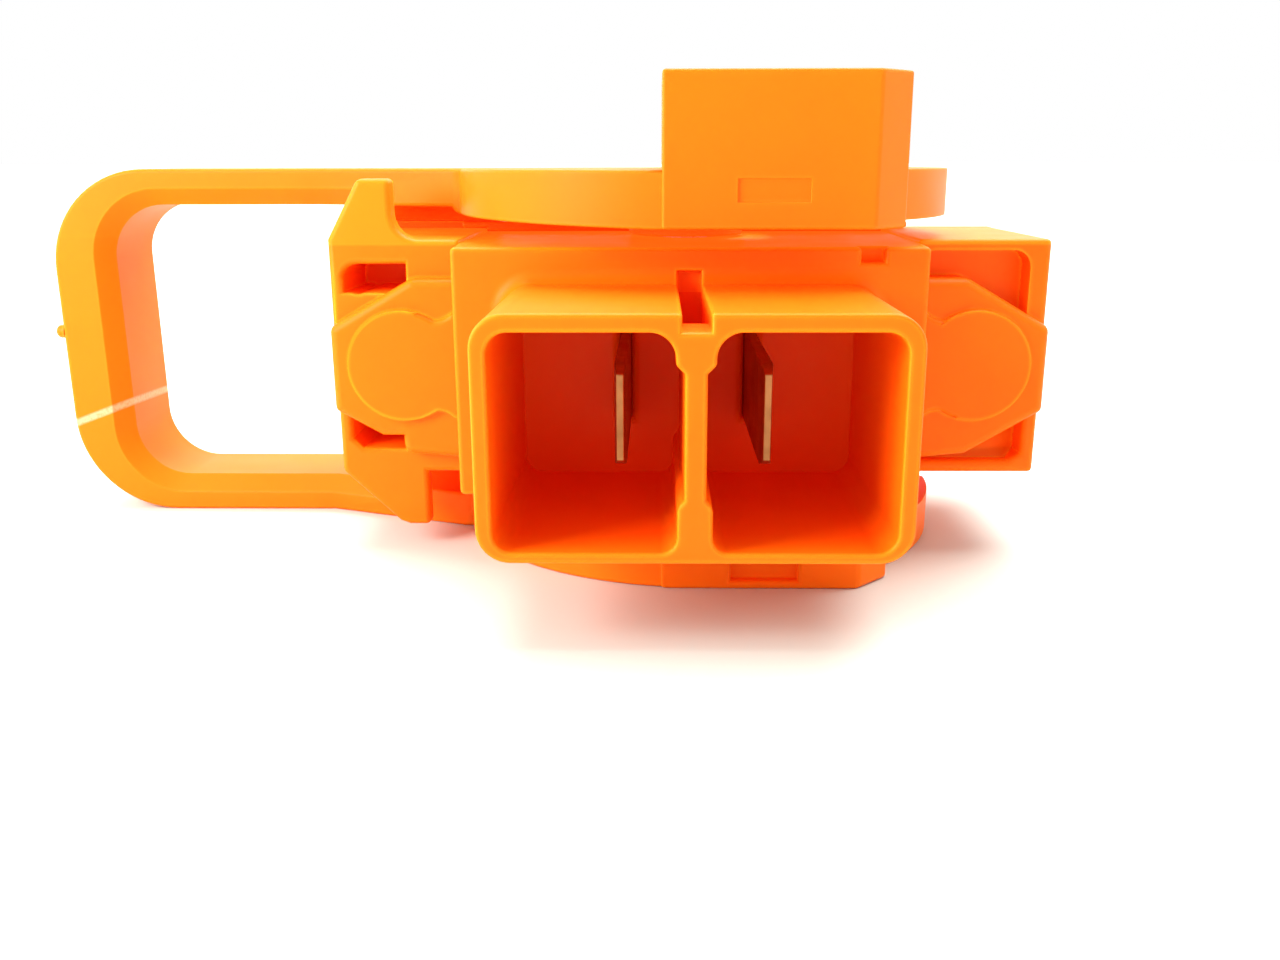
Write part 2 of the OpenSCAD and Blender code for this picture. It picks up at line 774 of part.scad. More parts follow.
// The interlock block from above, back to the depth given
module lock_plan(back) {
    polygon([
        [lock_x0, front_y], [lock_x1 - lock_bevel, front_y], [lock_x1, front_y + lock_bevel],
        [lock_x1, back], [lock_x0, back]
    ]);
}

// The lever from the front: a round-ended loop whose arms thicken towards the middle of the hub
module lever_profile() {
    rim_in = arm_top - hub_rim_t;
    full_x = -hub_r / 8;
    end_x = hub_tail_r + cut;
    difference() {
        union() {
            round_rect(-grip_reach, 0, -arm_top, arm_top, grip_corner);
            rect(-grip_reach / 2, end_x, -arm_top, arm_top);
        }
        round_rect(grip_in_x, neck_x, -arm_in, arm_in, loop_corner);
        rect(-grip_reach / 2, neck_x, -arm_in, arm_in);
        both_halves() polygon([
            [neck_x - cut, 0], [neck_x - cut, arm_in], [neck_x, arm_in], [neck_x + 0.8, rim_in],
            [full_x, hub_in], [lock_x1, hub_in], [lock_x1 + 1, rim_in], [end_x + cut, rim_in],
            [end_x + cut, 0]
        ]);
    }
}

// The same above and below the middle of a flat outline
module both_halves() {
    children();
    mirror([0, 1]) children();
}

// The bevel round the front of the finger loop, built from prisms and quarter cones
module loop_bevels() {
    y = arm_front;
    c = loop_bevel;
    r = loop_corner;
    over = 0.01;
    along_z(-arm_in + r, arm_in - r) polygon([
        [grip_in_x - c - over, y - over], [grip_in_x + over, y - over], [grip_in_x + over, y + c + over]
    ]);
    both_arms() translate([grip_in_x + r, y, arm_in - r]) rotate([-90, 0, 0])
        intersection() {
            cylinder(r1 = r + c, r2 = r, h = c);
            translate([-r - c, -r - c, 0]) cube([r + c, r + c, c]);
        }
    slant = atan2(neck_y - y, neck_x - bend_x);
    both_arms() intersection() {
        along_x(grip_in_x + r, neck_x) loop_edge(y);
        translate([bend_x, y, 0]) rotate([0, 0, slant])
            along_x(grip_in_x - bend_x, bevel_past) loop_edge(0);
    }
}

// All that lies before the slope of the bevel on an edge at y; two runs of it meet on their mitre
module loop_edge(y) {
    over = 0.01;
    reach = bend_x - grip_in_x;
    polygon([
        [y - reach, arm_in - over], [y + loop_bevel + over, arm_in - over],
        [y - reach, arm_in + loop_bevel + reach]
    ]);
}

// Spiral track on an arm's inner face, entered from the right as the lever begins to close
module cam_track() {
    steps = 16;
    mid = slide_travel;
    function track_r(a) = cam_in + (cam_out - cam_in) * a / 90;
    function at(a, r) = [mid + r * cos(a), pivot_y - r * sin(a)];
    along_z(hub_in - cut, hub_in + cam_deep) {
        polygon(concat(
            [[mid + cam_in + 12, pivot_y + cam_w / 2]],
            [for (i = [0 : steps]) at(i * 90 / steps, track_r(i * 90 / steps) - cam_w / 2)],
            [for (i = [steps : -1 : 0]) at(i * 90 / steps, track_r(i * 90 / steps) + cam_w / 2)],
            [[mid + cam_in + 12, pivot_y - cam_w / 2]]
        ));
        translate([0, pivot_y - cam_out - cam_w / 2]) square([mid, cam_w]);
        translate([0, pivot_y - cam_out]) circle(d = cam_w);
    }
}

module lever() {
    slot = bush_w / 2 + slide_gap;
    lip_y = case_y + cover_t + 0.6;
    pocket = [5.3, 13.9];
    color("orange") difference() {
        union() {
            intersection() {
                along_z(-arm_top, arm_top) arm_plan();
                along_y(front_y, arm_back) lever_profile();
            }
            along_z(hub_in, lock_top) lock_plan(lock_y1);
            both_arms() along_y(lip_y, arm_back)
                rect(-half_case + 1.3, -half_block + 1.5, skirt_z, arm_in + 2);
            rod_x(-grip_reach - 1.3, -grip_reach + cut, arm_front + 1.2, 2, 1);
        }
        loop_bevels();
        both_arms() {
            cam_track();
            along_z(hub_in - cut, arm_top + cut) translate([0, pivot_y])
                rect(-slot, slot + slide_travel, -slot, slot);
        }
        along_y(front_y - cut, front_y + 0.3) rect(pocket[0], pocket[1], arm_top - 3.7, arm_top - 1);
        along_y(front_y - cut, front_y + 1.6) rect(pocket[0], pocket[1], -arm_top + 1, -arm_top + 3.7);
        along_x(holder_x0, lock_x1 + cut)
            rect(room_y0, room_y1, lock_mid_z - lock_room_h / 2, lock_mid_z + lock_room_h / 2);
    }
}

// Interlock contacts in the block on the lever

module interlock_holder() {
    slot_w = tab_w + 2 * slot_gap;
    slot_t = tab_t + 2 * slot_gap;
    color("darkslategray") difference() {
        along_x(holder_x0, holder_x1) rect(
            room_y0 + slot_gap, room_y1 - slot_gap,
            lock_mid_z - lock_room_h / 2 + slot_gap, lock_mid_z + lock_room_h / 2 - slot_gap
        );
        for (y = [-tab_pitch / 2, tab_pitch / 2])
            translate([holder_x0 - cut, lock_mid_y + y - slot_w / 2, lock_mid_z - slot_t / 2])
                cube([holder_x1 - holder_x0 + 2 * cut, slot_w, slot_t]);
        translate([holder_x0 - cut, lock_mid_y - tab_pitch / 2 - slot_w / 2, lock_mid_z - slot_t / 2])
            cube([tab_w + cut + slot_gap, tab_pitch + slot_w, slot_t]);
    }
}

// A shorting strap with two tabs
module interlock_terminal() {
    y0 = lock_mid_y - tab_pitch / 2 - tab_w / 2;
    color("gold") along_z(lock_mid_z - tab_t / 2, lock_mid_z + tab_t / 2) {
        rect(holder_x0 + slot_gap, holder_x0 + tab_w, y0, y0 + tab_pitch + tab_w);
        for (y = [y0, y0 + tab_pitch])
            polygon([
                [holder_x0 + 1, y], [tab_x1 - 1.2, y], [tab_x1, y + 0.5],
                [tab_x1, y + tab_w - 0.5], [tab_x1 - 1.2, y + tab_w], [holder_x0 + 1, y + tab_w]
            ]);
    }
}

plug_housing();
fuse_cover();
cover_screws();
left_busbar();
right_busbar();
fuse_tube();
fuse_element();
left_fuse_cap();
right_fuse_cap();
left_bolt();
right_bolt();
left_washer();
right_washer();
left_nut();
right_nut();
pivot_pins();
pivot_bush_top();
pivot_bush_bottom();
lever();
interlock_holder();
interlock_terminal();
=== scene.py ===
# Studio scene of an orange service plug for a battery disconnect switch
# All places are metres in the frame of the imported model, and the camera looks at the mating face
import math

import bmesh
import bpy
from mathutils import Matrix, Vector


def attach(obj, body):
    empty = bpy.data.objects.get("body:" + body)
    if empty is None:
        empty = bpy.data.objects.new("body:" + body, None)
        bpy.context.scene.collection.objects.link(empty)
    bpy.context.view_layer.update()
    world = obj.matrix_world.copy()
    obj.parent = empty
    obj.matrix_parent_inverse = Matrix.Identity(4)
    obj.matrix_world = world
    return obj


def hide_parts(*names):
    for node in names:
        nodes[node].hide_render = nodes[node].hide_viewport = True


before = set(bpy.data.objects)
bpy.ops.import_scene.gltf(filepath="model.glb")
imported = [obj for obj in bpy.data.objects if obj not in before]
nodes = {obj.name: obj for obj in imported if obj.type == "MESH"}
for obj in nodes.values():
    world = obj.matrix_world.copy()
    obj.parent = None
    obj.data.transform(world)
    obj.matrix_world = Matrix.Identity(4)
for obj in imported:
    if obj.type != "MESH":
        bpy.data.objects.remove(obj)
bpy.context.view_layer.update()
mm = 0.001
print("frame loaded:", len(nodes), "nodes")


# Linear colour of an sRGB hex value
def linearColor(hexText):
    channels = [int(hexText[i:i + 2], 16) / 255 for i in (1, 3, 5)]
    linear = [c / 12.92 if c <= 0.04045 else ((c + 0.055) / 1.055) ** 2.4 for c in channels]
    return (*linear, 1.0)


# A node with its settings and the sockets linked into it
def addNode(tree, kind, settings=None, links=None):
    node = tree.nodes.new(kind)
    for key, value in (settings or {}).items():
        if isinstance(key, str) and hasattr(node, key):
            setattr(node, key, value)
        else:
            node.inputs[key].default_value = value
    for key, source in (links or {}).items():
        tree.links.new(source, node.inputs[key])
    return node


# An empty material with its shader joined to the output
def newMaterial(name):
    material = bpy.data.materials.new(name)
    material.use_nodes = True
    tree = material.node_tree
    tree.nodes.clear()
    output = tree.nodes.new("ShaderNodeOutputMaterial")
    shader = tree.nodes.new("ShaderNodeBsdfPrincipled")
    tree.links.new(shader.outputs["BSDF"], output.inputs["Surface"])
    return material, tree, shader


# Camera at the photograph's place
cameraValues = {
    "place": (-4.18 * mm, -120.45 * mm, 27.17 * mm),
    "pitchDown": 15.3945,
    "turnLeft": 0.8442,
    "roll": -0.1281,
    "lens": 32.74,
    "sensor": 36.0,
    "clipStart": 5 * mm,
}
bpy.ops.object.camera_add(location=cameraValues["place"])
camera = bpy.context.object
camera.name = "studioCamera"
turn = Matrix.Rotation(math.radians(cameraValues["turnLeft"]), 4, "Z")
pitch = Matrix.Rotation(math.radians(90 - cameraValues["pitchDown"]), 4, "X")
roll = Matrix.Rotation(math.radians(cameraValues["roll"]), 4, "Z")
camera.rotation_euler = (turn @ pitch @ roll).to_euler()
camera.data.lens = cameraValues["lens"]
camera.data.sensor_width = cameraValues["sensor"]
camera.data.sensor_fit = "HORIZONTAL"
camera.data.clip_start = cameraValues["clipStart"]
bpy.context.scene.camera = camera
print("camera set")

# Plain pale floor under the lower arm
floorValues = {"level": -26 * mm, "size": 30.0, "color": "#CAD2C8", "roughness": 0.6}
bpy.ops.mesh.primitive_plane_add(size=floorValues["size"], location=(0, 0, floorValues["level"]))
floor = bpy.context.object
floor.name = "studioFloor"
cardWhite, tree, shader = newMaterial("cardWhite")  # matt coated card
shader.inputs["Base Color"].default_value = linearColor(floorValues["color"])
shader.inputs["Roughness"].default_value = floorValues["roughness"]
floor.data.materials.append(cardWhite)

# Plain soft studio light: a broad key light high above and behind on the right, a window close
# on the left, and a white room that is darkest in front
lightValues = {
    "keyStrength": 6.5, "keyTurn": (-22.0, 8.0, 0.0), "keySpread": 60.0,
    "keyPlace": (0.0, 0.0, 0.5),
    "roomFront": 0.35, "roomBack": 1.4, "roomLeft": 1.6, "roomRight": 0.9,
    "frontEnd": -0.4, "backEnd": 0.9, "paper": 1.0,
    "windowPower": 0.54, "windowSize": 0.1,
    "windowPlace": (-0.17, -0.06, 0.08), "windowTurn": (65.0, 0.0, -50.0),
}
world = bpy.data.worlds.new("whiteRoom")
bpy.context.scene.world = world
world.use_nodes = True
roomTree = world.node_tree
roomTree.nodes.clear()
roomPlace = addNode(roomTree, "ShaderNodeTexCoord").outputs["Generated"]
roomAxes = addNode(roomTree, "ShaderNodeSeparateXYZ", None, {0: roomPlace})
roomStrength = addNode(roomTree, "ShaderNodeMapRange",
                       {"From Min": lightValues["frontEnd"], "From Max": lightValues["backEnd"],
                        "To Min": lightValues["roomFront"], "To Max": lightValues["roomBack"]},
                       {"Value": roomAxes.outputs["Y"]})
roomSum = roomStrength.outputs["Result"]
for side, strength in ((-1.0, lightValues["roomLeft"]), (1.0, lightValues["roomRight"])):
    roomSide = addNode(roomTree, "ShaderNodeMapRange", {"From Max": side, "To Max": strength},
                       {"Value": roomAxes.outputs["X"]})
    roomSum = addNode(roomTree, "ShaderNodeMath", {"operation": "ADD"},
                      {0: roomSum, 1: roomSide.outputs["Result"]}).outputs[0]
white = (1.0, 1.0, 1.0, 1.0)
roomLight = addNode(roomTree, "ShaderNodeBackground", {"Color": white}, {"Strength": roomSum})
paper = addNode(roomTree, "ShaderNodeBackground",
                {"Color": white, "Strength": lightValues["paper"]})
straight = addNode(roomTree, "ShaderNodeLightPath").outputs["Is Camera Ray"]
roomMix = addNode(roomTree, "ShaderNodeMixShader", None,
                  {0: straight, 1: roomLight.outputs[0], 2: paper.outputs[0]})
addNode(roomTree, "ShaderNodeOutputWorld", None, {"Surface": roomMix.outputs[0]})
bpy.ops.object.light_add(type="SUN", location=lightValues["keyPlace"],
                         rotation=[math.radians(a) for a in lightValues["keyTurn"]])
keyLight = bpy.context.object
keyLight.name = "overheadKey"
keyLight.data.energy = lightValues["keyStrength"]
keyLight.data.angle = math.radians(lightValues["keySpread"])
bpy.ops.object.light_add(type="AREA", location=lightValues["windowPlace"],
                         rotation=[math.radians(a) for a in lightValues["windowTurn"]])
windowLight = bpy.context.object
windowLight.name = "leftWindow"
windowLight.data.size = lightValues["windowSize"]
windowLight.data.energy = lightValues["windowPower"]
bpy.context.scene.view_settings.view_transform = "Standard"  # keeps the orange clean
print("floor and light set")


# Injection-moulded polyester in safety orange, a satin skin that lets some light in. A painted red
# glow stands in for light through the thin walls, a painted paler, yellower highlight lies along
# the outer edges, and flow marks and smudges stay faint
polyesterValues = {
    "flowDetail": 3.0, "flowRoughness": 0.55,
    "smudgeShare": 0.6, "smudgeDetail": 1.0, "smudgeRange": (0.3, 0.7),
    "glossier": 0.02, "duller": 0.04,
    "grainDetail": 2.0, "grainStrength": 0.05, "grainDepth": 0.02 * mm,
    "edgeReach": 0.8 * mm, "edgeSamples": 4, "edgeStart": 0.99, "edgeFull": 0.86,
    "specular": 0.09, "scatter": 0.15, "scatterReach": 3 * mm, "scatterColors": (1.0, 0.15, 0.05),
    # painted glow of the walls, and of the faces above the block top
    "gapStart": 15.9 * mm, "gapFull": 16.35 * mm, "wallGlow": 0.095,
    "glowColor": "#FF1800", "gapGlowColor": "#FF6410",
}


def mouldedOrange(name, values):
    skin = polyesterValues
    material, tree, shader = newMaterial(name)
    place = addNode(tree, "ShaderNodeTexCoord").outputs["Object"]
    flowMarks = addNode(tree, "ShaderNodeTexNoise",
                        {"Scale": 1 / values["flow"], "Detail": skin["flowDetail"],
                         "Roughness": skin["flowRoughness"]}, {"Vector": place})
    tint = addNode(tree, "ShaderNodeMix",
                   {"data_type": "RGBA", 6: linearColor(values["color"]),
                    7: linearColor(values["deepColor"])}, {0: flowMarks.outputs["Fac"]})
    smudges = addNode(tree, "ShaderNodeTexNoise",
                      {"Scale": 1 / (values["flow"] * skin["smudgeShare"]),
                       "Detail": skin["smudgeDetail"]}, {"Vector": place})
    smudgeStart, smudgeFull = skin["smudgeRange"]
    satin = addNode(tree, "ShaderNodeMapRange",
                    {"From Min": smudgeStart, "From Max": smudgeFull,
                     "To Min": values["dullness"] - skin["glossier"],
                     "To Max": values["dullness"] + skin["duller"]},
                    {"Value": smudges.outputs["Fac"]})
    grain = addNode(tree, "ShaderNodeTexNoise",
                    {"Scale": 1 / values["grain"], "Detail": skin["grainDetail"]},
                    {"Vector": place})
    bump = addNode(tree, "ShaderNodeBump",
                   {"Strength": skin["grainStrength"], "Distance": skin["grainDepth"]},
                   {"Height": grain.outputs["Fac"]})
    # painted highlight: an edge is where the rounded normal leaves the normal of the face, and
    # there the colour turns paler and yellower
    soft = addNode(tree, "ShaderNodeBevel",
                   {"samples": skin["edgeSamples"], "Radius": skin["edgeReach"]})
    face = addNode(tree, "ShaderNodeNewGeometry")
    likeness = addNode(tree, "ShaderNodeVectorMath", {"operation": "DOT_PRODUCT"},
                       {0: soft.outputs[0], 1: face.outputs["Normal"]})
    edgeHighlightMask = addNode(tree, "ShaderNodeMapRange",
                  {"From Min": skin["edgeStart"], "From Max": skin["edgeFull"],
                   "To Max": values["edgeHighlightShare"]}, {"Value": likeness.outputs["Value"]})
    edgeHighlighted = addNode(tree, "ShaderNodeMix",
                    {"data_type": "RGBA", 7: linearColor(values["edgeHighlightColor"])},
                    {0: edgeHighlightMask.outputs["Result"], 6: tint.outputs[2]})
    tree.links.new(edgeHighlighted.outputs[2], shader.inputs["Base Color"])
    tree.links.new(satin.outputs["Result"], shader.inputs["Roughness"])
    tree.links.new(bump.outputs["Normal"], shader.inputs["Normal"])
    shader.inputs["Specular IOR Level"].default_value = skin["specular"]
    shader.inputs["Subsurface Weight"].default_value = skin["scatter"]
    shader.inputs["Subsurface Radius"].default_value = skin["scatterColors"]
    shader.inputs["Subsurface Scale"].default_value = skin["scatterReach"]
    # painted glow: every face gives off a faint red light that stands in for light wandering
    # through the walls, and faces higher than the block top give off each piece's own gap glow,
    # orange and strongest on the housing's block top under the upper arm
    axes = addNode(tree, "ShaderNodeSeparateXYZ", None, {0: place})
    inGap = addNode(tree, "ShaderNodeMapRange",
                    {"From Min": skin["gapStart"], "From Max": skin["gapFull"]},
                    {"Value": axes.outputs["Z"]})
    glow = addNode(tree, "ShaderNodeMapRange",
                   {"To Min": skin["wallGlow"], "To Max": values["gapGlow"]},
                   {"Value": inGap.outputs["Result"]})
    paintedGlowColor = addNode(tree, "ShaderNodeMix",
                     {"data_type": "RGBA", 6: linearColor(skin["glowColor"]),
                      7: linearColor(skin["gapGlowColor"])}, {0: inGap.outputs["Result"]})
    tree.links.new(glow.outputs["Result"], shader.inputs["Emission Strength"])
    tree.links.new(paintedGlowColor.outputs[2], shader.inputs["Emission Color"])
    return material


# Bare or plated metal with fine lines along the way it was rolled or drawn, and dull patches
metalValues = {
    "lineLength": 40, "lineDetail": 2.0, "patch": 3 * mm, "patchDetail": 4.0,
    "patchRange": (0.4, 0.75), "smoother": 0.08, "rougher": 0.12,
    "lineStrength": 0.15, "lineDepth": 0.02 * mm,
}


def metal(name, values):
    wear = metalValues
    material, tree, shader = newMaterial(name)
    place = addNode(tree, "ShaderNodeTexCoord").outputs["Object"]
    stretch = [1 / values["line"]] * 3
    stretch[values["axis"]] = 1 / (values["line"] * wear["lineLength"])
    lines = addNode(tree, "ShaderNodeMapping", {"Scale": stretch}, {"Vector": place})
    rolled = addNode(tree, "ShaderNodeTexNoise", {"Scale": 1.0, "Detail": wear["lineDetail"]},
                     {"Vector": lines.outputs[0]})
    patches = addNode(tree, "ShaderNodeTexNoise",
                      {"Scale": 1 / wear["patch"], "Detail": wear["patchDetail"]},
                      {"Vector": place})
    patchStart, patchFull = wear["patchRange"]
    fade = addNode(tree, "ShaderNodeMapRange", {"From Min": patchStart, "From Max": patchFull},
                   {"Value": patches.outputs["Fac"]})
    tint = addNode(tree, "ShaderNodeMix",
                   {"data_type": "RGBA", 6: linearColor(values["color"]),
                    7: linearColor(values["tarnish"])}, {0: fade.outputs["Result"]})
    worn = addNode(tree, "ShaderNodeMapRange",
                   {"To Min": values["roughness"] - wear["smoother"],
                    "To Max": values["roughness"] + wear["rougher"]},
                   {"Value": rolled.outputs["Fac"]})
    bump = addNode(tree, "ShaderNodeBump",
                   {"Strength": wear["lineStrength"], "Distance": wear["lineDepth"]},
                   {"Height": rolled.outputs["Fac"]})
    tree.links.new(tint.outputs[2], shader.inputs["Base Color"])
    tree.links.new(worn.outputs["Result"], shader.inputs["Roughness"])
    tree.links.new(bump.outputs["Normal"], shader.inputs["Normal"])
    shader.inputs["Metallic"].default_value = 1.0
    return material


# The sizes of flow marks and grains are metres. The edge colour is a painted highlight, and the
# glows are painted glow
orangeKinds = {
    "housingPolyester": {
        "color": "#F4700A", "deepColor": "#F26908", "edgeHighlightColor": "#FFA41C", "edgeHighlightShare": 0.75,
        "flow": 14 * mm, "grain": 0.3 * mm, "dullness": 0.4, "gapGlow": 0.9,
    },
    "leverPolyester": {
        "color": "#F4730C", "deepColor": "#F26B08", "edgeHighlightColor": "#FF9A20", "edgeHighlightShare": 0.3,
        "flow": 16 * mm, "grain": 0.3 * mm, "dullness": 0.42, "gapGlow": 0.06,
    },
    "coverPolyester": {
        "color": "#F26E0A", "deepColor": "#F06608", "edgeHighlightColor": "#FF9818", "edgeHighlightShare": 0.5,
        "flow": 12 * mm, "grain": 0.35 * mm, "dullness": 0.44, "gapGlow": 0.095,
    },
    # harder and waxier than the polyester
    "orangeAcetal": {
        "color": "#EE7010", "deepColor": "#E8680C", "edgeHighlightColor": "#FF9A20", "edgeHighlightShare": 0.3,
        "flow": 5 * mm, "grain": 0.3 * mm, "dullness": 0.45, "gapGlow": 0.5,
    },
}
housingOrange, leverOrange, coverOrange, acetal = [
    mouldedOrange(name, values) for name, values in orangeKinds.items()]

# The widths of the lines are metres, and the axis is the way that the lines run
metalKinds = {
    # browned by air, satin
    "rolledCopperAlloy": {
        "color": "#AC6E44", "tarnish": "#85502F", "roughness": 0.38, "line": 0.12 * mm, "axis": 1,
    },
    # bright, with a trace of grey bloom
    "zincPlatedSteel": {
        "color": "#C9CBCC", "tarnish": "#AEB0AC", "roughness": 0.28, "line": 0.1 * mm, "axis": 0,
    },
    # milky, satin
    "tinPlatedCopper": {
        "color": "#D2D2CC", "tarnish": "#B9B9B0", "roughness": 0.35, "line": 0.1 * mm, "axis": 0,
    },
    # pale gold, half bright
    "stampedBrass": {
        "color": "#D8B76A", "tarnish": "#A98746", "roughness": 0.3, "line": 0.1 * mm, "axis": 0,
    },
}
bareCopper, zincSteel, tinned, brass = [
    metal(name, values) for name, values in metalKinds.items()]


# A dull material whose colour and surface vary in fine grains
grainValues = {"detail": 4.0, "spread": 0.1, "strength": 0.2}


def grained(name, values):
    material, tree, shader = newMaterial(name)
    place = addNode(tree, "ShaderNodeTexCoord").outputs["Object"]
    grains = addNode(tree, "ShaderNodeTexNoise",
                     {"Scale": 1 / values["grain"], "Detail": grainValues["detail"]},
                     {"Vector": place})
    tint = addNode(tree, "ShaderNodeMix",
                   {"data_type": "RGBA", 6: linearColor(values["color"]),
                    7: linearColor(values["darkColor"])}, {0: grains.outputs["Fac"]})
    dull = addNode(tree, "ShaderNodeMapRange",
                   {"To Min": values["roughness"] - grainValues["spread"],
                    "To Max": values["roughness"] + grainValues["spread"]},
                   {"Value": grains.outputs["Fac"]})
    bump = addNode(tree, "ShaderNodeBump",
                   {"Strength": grainValues["strength"], "Distance": values["depth"]},
                   {"Height": grains.outputs["Fac"]})
    tree.links.new(tint.outputs[2], shader.inputs["Base Color"])
    tree.links.new(dull.outputs["Result"], shader.inputs["Roughness"])
    tree.links.new(bump.outputs["Normal"], shader.inputs["Normal"])
    return material


grainedKinds = {
    # pressed and unglazed
    "whiteFuseCeramic": {
        "color": "#F2EEE3", "darkColor": "#E2DCCB", "roughness": 0.7,
        "grain": 0.5 * mm, "depth": 0.03 * mm,
    },
    # glass-filled, satin
    "blackNylon": {
        "color": "#1E1F21", "darkColor": "#121314", "roughness": 0.5,
        "grain": 0.3 * mm, "depth": 0.02 * mm,
    },
}
ceramic, blackNylon = [grained(name, values) for name, values in grainedKinds.items()]

# A pale scuff across the front of the grip, broken up along its length
scuffValues = {
    "across": (-0.375, 0.04, 1.0), "offset": 25.45 * mm, "halfWidth": 0.55 * mm,
    "softness": (0.6, 1.3), "strength": 0.55, "color": "#FFC9A4",
    "left": -95 * mm, "right": -84 * mm, "back": 72 * mm,
    "crumb": 0.5 * mm, "crumbRange": (0.35, 0.55), "least": 0.6,
}
leverTree = leverOrange.node_tree
leverColor = leverTree.nodes["Principled BSDF"].inputs["Base Color"]
place = addNode(leverTree, "ShaderNodeTexCoord").outputs["Object"]
height = addNode(leverTree, "ShaderNodeVectorMath",
                 {"operation": "DOT_PRODUCT", 1: scuffValues["across"]}, {0: place})
drop = addNode(leverTree, "ShaderNodeMath", {"operation": "SUBTRACT", 1: scuffValues["offset"]},
               {0: height.outputs["Value"]})
distance = addNode(leverTree, "ShaderNodeMath", {"operation": "ABSOLUTE"}, {0: drop.outputs[0]})
scuffStart, scuffEnd = [scuffValues["halfWidth"] * share for share in scuffValues["softness"]]
line = addNode(leverTree, "ShaderNodeMapRange",
               {"From Min": scuffStart, "From Max": scuffEnd,
                "To Min": scuffValues["strength"], "To Max": 0.0}, {"Value": distance.outputs[0]})
scuffAxes = addNode(leverTree, "ShaderNodeSeparateXYZ", None, {0: place})
scuff = line.outputs["Result"]
scuffLimits = (("X", "GREATER_THAN", "left"), ("X", "LESS_THAN", "right"),
               ("Y", "LESS_THAN", "back"))
for axis, operation, limit in scuffLimits:
    within = addNode(leverTree, "ShaderNodeMath", {"operation": operation, 1: scuffValues[limit]},
                     {0: scuffAxes.outputs[axis]})
    scuff = addNode(leverTree, "ShaderNodeMath", {"operation": "MULTIPLY"},
                    {0: scuff, 1: within.outputs[0]}).outputs[0]
crumbs = addNode(leverTree, "ShaderNodeTexNoise", {"Scale": 1 / scuffValues["crumb"]},
                 {"Vector": place})
crumbStart, crumbFull = scuffValues["crumbRange"]
broken = addNode(leverTree, "ShaderNodeMapRange",
                 {"From Min": crumbStart, "From Max": crumbFull, "To Min": scuffValues["least"]},
                 {"Value": crumbs.outputs["Fac"]})
scuff = addNode(leverTree, "ShaderNodeMath", {"operation": "MULTIPLY"},
                {0: scuff, 1: broken.outputs["Result"]}).outputs[0]
scuffed = addNode(leverTree, "ShaderNodeMix",
                  {"data_type": "RGBA", 7: linearColor(scuffValues["color"])},
                  {0: scuff, 6: leverColor.links[0].from_socket})
leverTree.links.new(scuffed.outputs[2], leverColor)

# Painted shade deep in the sockets: past the mouth the housing's colour turns a deeper red,
# standing in for the shade and red light in there
socketShadeValues = {
    "halfWidth": 23 * mm, "middle": -2.2 * mm, "halfHeight": 12.8 * mm,
    "mouth": 1 * mm, "deep": 7 * mm, "color": "#EC5A06",
}
housingTree = housingOrange.node_tree
housingColor = housingTree.nodes["Principled BSDF"].inputs["Base Color"]
place = addNode(housingTree, "ShaderNodeTexCoord").outputs["Object"]
socketAxes = addNode(housingTree, "ShaderNodeSeparateXYZ", None, {0: place})
inward = addNode(housingTree, "ShaderNodeMapRange",
                 {"From Min": socketShadeValues["mouth"], "From Max": socketShadeValues["deep"]},
                 {"Value": socketAxes.outputs["Y"]}).outputs["Result"]
socketSides = (("X", 0.0, "halfWidth"), ("Z", socketShadeValues["middle"], "halfHeight"))
for axis, middle, reach in socketSides:
    within = addNode(housingTree, "ShaderNodeMath",
                     {"operation": "COMPARE", 1: middle, 2: socketShadeValues[reach]},
                     {0: socketAxes.outputs[axis]})
    inward = addNode(housingTree, "ShaderNodeMath", {"operation": "MULTIPLY"},
                     {0: inward, 1: within.outputs[0]}).outputs[0]
paintedSocketShade = addNode(housingTree, "ShaderNodeMix",
                   {"data_type": "RGBA", 7: linearColor(socketShadeValues["color"])},
                   {0: inward, 6: housingColor.links[0].from_socket})
housingTree.links.new(paintedSocketShade.outputs[2], housingColor)

finishes = {
    "plug_housing": housingOrange, "fuse_cover": coverOrange, "lever": leverOrange,
    "pivot_bush_top": acetal, "pivot_bush_bottom": acetal,
    "left_busbar": bareCopper, "right_busbar": bareCopper, "pivot_pins": zincSteel,
    "cover_screws": zincSteel, "left_bolt": zincSteel, "right_bolt": zincSteel,
    "left_washer": zincSteel, "right_washer": zincSteel,
    "left_nut": zincSteel, "right_nut": zincSteel,
    "left_fuse_cap": tinned, "right_fuse_cap": tinned, "fuse_element": tinned,
    "fuse_tube": ceramic, "interlock_holder": blackNylon, "interlock_terminal": brass,
}
for nodeName, material in finishes.items():
    mesh = nodes[nodeName].data
    mesh.materials.clear()
    mesh.materials.append(material)
print("materials set")


# How wide a rounding each outer edge has room for, measured across the flat faces beside it
edgeValues = {
    "flatTurn": math.radians(0.5), "sharpTurn": math.radians(30), "runTurn": math.radians(30),
    "spots": (-0.35, 0.0, 0.35), "shared": 0.45, "alone": 0.85, "widest": 1.0,
    "leastReach": 0.001 * mm, "leastRun": 0.0001 * mm,
}


